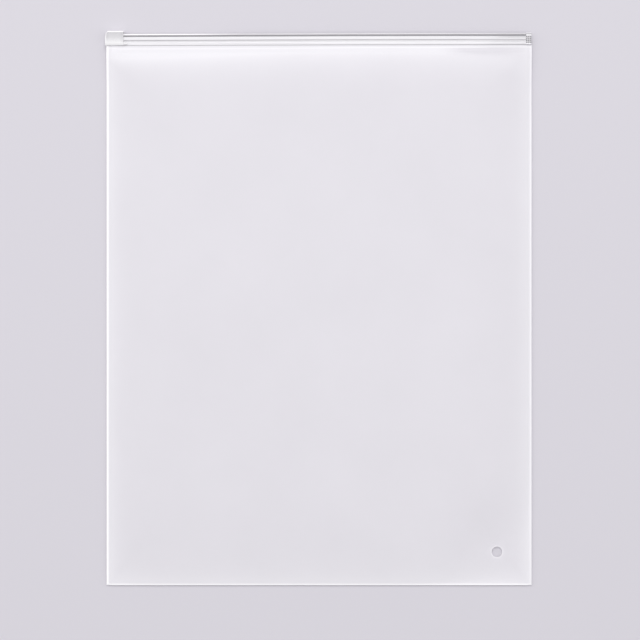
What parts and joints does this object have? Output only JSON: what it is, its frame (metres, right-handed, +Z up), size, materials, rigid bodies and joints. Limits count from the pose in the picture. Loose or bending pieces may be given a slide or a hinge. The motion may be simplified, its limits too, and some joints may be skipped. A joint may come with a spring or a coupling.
{
  "type": "slider zip bag",
  "caption": "Flat frosted film pouch with a slider zip along its mouth, a bottom fold, welded side seams and a small round vent hole in one lower corner.",
  "frame": {"origin": "middle of the back panel's outer face, on the surface that the bag lies on", "axes": "+X along the zip from the parked slider to the knurled end, +Y from the bottom fold to the zip, +Z up out of the front panel"},
  "size_m": [0.3508, 0.4556, 0.0072],
  "materials": {
    "frosted_film": "frosted, translucent soft film",
    "zip_track": "natural translucent extruded plastic",
    "slider_plastic": "milky translucent moulded plastic"
  },
  "bodies": {
    "bag": {"film_pouch": "frosted_film", "track_front": "zip_track", "track_back": "zip_track"},
    "slider": {"slider": "slider_plastic"}
  },
  "joints": [
    {"name": "slider_travel", "type": "slide", "parent": "bag", "child": "slider", "axis": [1, 0, 0], "range_m": [0, 0.334]}
  ]
}
